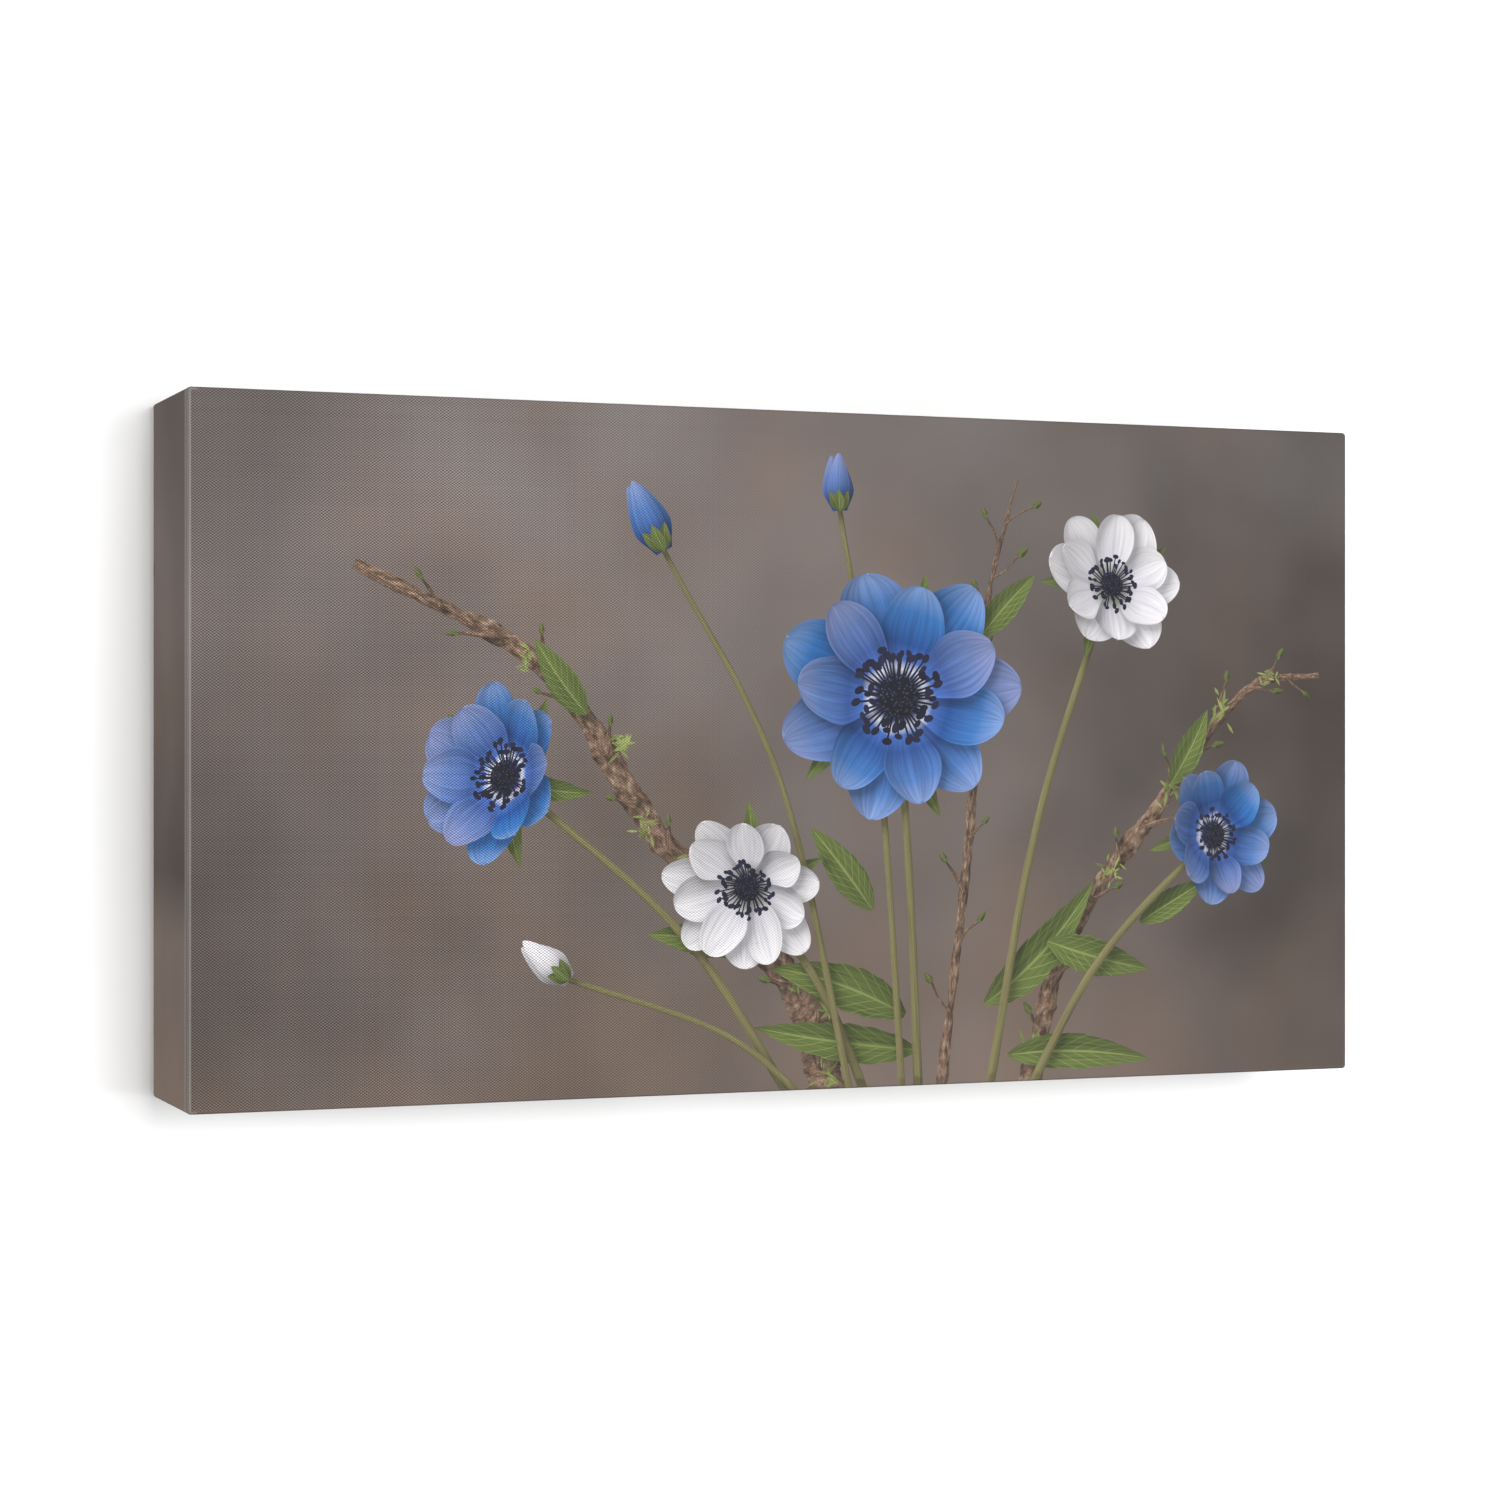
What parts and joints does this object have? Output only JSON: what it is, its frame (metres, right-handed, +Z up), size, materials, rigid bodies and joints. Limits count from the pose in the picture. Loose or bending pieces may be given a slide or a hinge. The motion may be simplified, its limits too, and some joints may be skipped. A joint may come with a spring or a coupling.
{
  "type": "stretched canvas print",
  "caption": "Gallery-wrapped canvas print: printed canvas folded over deep mitred wooden bars, stapled at the back, with corner wedges, a sawtooth hanger and rubber bumpers.",
  "frame": {"origin": "where the nail bears in the hanger's middle notch, on the plane of the wall", "axes": "+X to the right seen from the front, +Y back towards the wall, +Z up; the picture faces -Y"},
  "size_m": [0.2794, 0.0411, 0.1534],
  "materials": {
    "printed_canvas": "matt printed canvas, white where unprinted and raw on its reverse",
    "pine_bar": "planed bare pine",
    "beech_wedge": "sawn bare beech",
    "staple_steel": "galvanised wire",
    "hanger_brass": "brass-plated pressed steel",
    "bumper_rubber": "matt"
  },
  "bodies": {
    "root": {"bar_bottom": "pine_bar", "bar_left": "pine_bar", "bar_right": "pine_bar", "bar_top": "pine_bar", "brad_left": "hanger_brass", "brad_right": "hanger_brass", "bumper_left": "bumper_rubber", "bumper_right": "bumper_rubber", "canvas": "printed_canvas", "hanger": "hanger_brass", "staple_bottom_1": "staple_steel", "staple_bottom_2": "staple_steel", "staple_bottom_3": "staple_steel", "staple_bottom_4": "staple_steel", "staple_bottom_5": "staple_steel", "staple_corner_bottom_left": "staple_steel", "staple_corner_bottom_right": "staple_steel", "staple_corner_top_left": "staple_steel", "staple_corner_top_right": "staple_steel", "staple_fold_bottom_left": "staple_steel", "staple_fold_bottom_right": "staple_steel", "staple_fold_top_left": "staple_steel", "staple_fold_top_right": "staple_steel", "staple_left_1": "staple_steel", "staple_left_2": "staple_steel", "staple_left_3": "staple_steel", "staple_right_1": "staple_steel", "staple_right_2": "staple_steel", "staple_right_3": "staple_steel", "staple_top_1": "staple_steel", "staple_top_2": "staple_steel", "staple_top_3": "staple_steel", "staple_top_4": "staple_steel", "staple_top_5": "staple_steel", "wedge_bottom_left_level": "beech_wedge", "wedge_bottom_left_upright": "beech_wedge", "wedge_bottom_right_level": "beech_wedge", "wedge_bottom_right_upright": "beech_wedge", "wedge_top_left_level": "beech_wedge", "wedge_top_left_upright": "beech_wedge", "wedge_top_right_level": "beech_wedge", "wedge_top_right_upright": "beech_wedge"}
  },
  "joints": []
}
